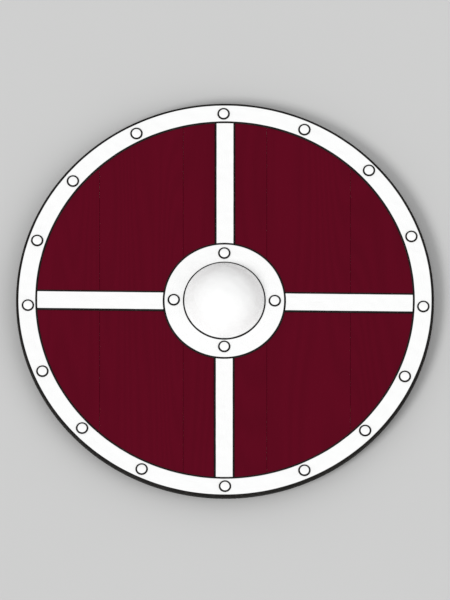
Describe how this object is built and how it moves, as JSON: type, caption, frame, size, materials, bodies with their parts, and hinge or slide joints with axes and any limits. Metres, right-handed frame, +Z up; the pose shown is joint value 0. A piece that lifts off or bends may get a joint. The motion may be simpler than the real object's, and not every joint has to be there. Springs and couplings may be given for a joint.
{
  "type": "wooden round shield",
  "caption": "Round plank shield with a riveted iron hoop, crossed iron straps, a domed iron boss over the hand hole, and a wooden grip and battens behind.",
  "frame": {"origin": "below the middle of the shield, on the plane of the battens' undersides that it lies on", "axes": "+Z up out of the face, +Y to the top of the shield, +X to the right of the face"},
  "size_m": [0.76, 0.76, 0.0839],
  "materials": {
    "painted_planks": "satin maroon paint",
    "white_iron": "satin white paint, edges left black",
    "black_iron": "oil-blackened iron",
    "ash_wood": "oiled",
    "oak_pegs": "oiled"
  },
  "bodies": {
    "root": {"plank_far_left": "painted_planks", "plank_left": "painted_planks", "plank_middle": "painted_planks", "plank_right": "painted_planks", "plank_far_right": "painted_planks", "rim_hoop": "white_iron", "boss": "white_iron", "strap_top": "white_iron", "strap_right": "white_iron", "strap_bottom": "white_iron", "strap_left": "white_iron", "rim_rivet_01": "white_iron", "rim_rivet_02": "white_iron", "rim_rivet_03": "white_iron", "rim_rivet_04": "white_iron", "rim_rivet_05": "white_iron", "rim_rivet_06": "white_iron", "rim_rivet_07": "white_iron", "rim_rivet_08": "white_iron", "rim_rivet_09": "white_iron", "rim_rivet_10": "white_iron", "rim_rivet_11": "white_iron", "rim_rivet_12": "white_iron", "rim_rivet_13": "white_iron", "rim_rivet_14": "white_iron", "rim_rivet_15": "white_iron", "rim_rivet_16": "white_iron", "boss_rivet_top": "white_iron", "boss_rivet_right": "white_iron", "boss_rivet_bottom": "white_iron", "boss_rivet_left": "white_iron", "rove_top": "black_iron", "rove_right": "black_iron", "rove_bottom": "black_iron", "rove_left": "black_iron", "batten_upper": "ash_wood", "batten_lower": "ash_wood", "hand_grip": "ash_wood", "peg_upper_1": "oak_pegs", "peg_upper_2": "oak_pegs", "peg_upper_3": "oak_pegs", "peg_upper_4": "oak_pegs", "peg_upper_5": "oak_pegs", "peg_lower_1": "oak_pegs", "peg_lower_2": "oak_pegs", "peg_lower_3": "oak_pegs", "peg_lower_4": "oak_pegs", "peg_lower_5": "oak_pegs", "peg_grip_1": "oak_pegs", "peg_grip_2": "oak_pegs", "peg_grip_3": "oak_pegs", "peg_grip_4": "oak_pegs"}
  },
  "joints": []
}
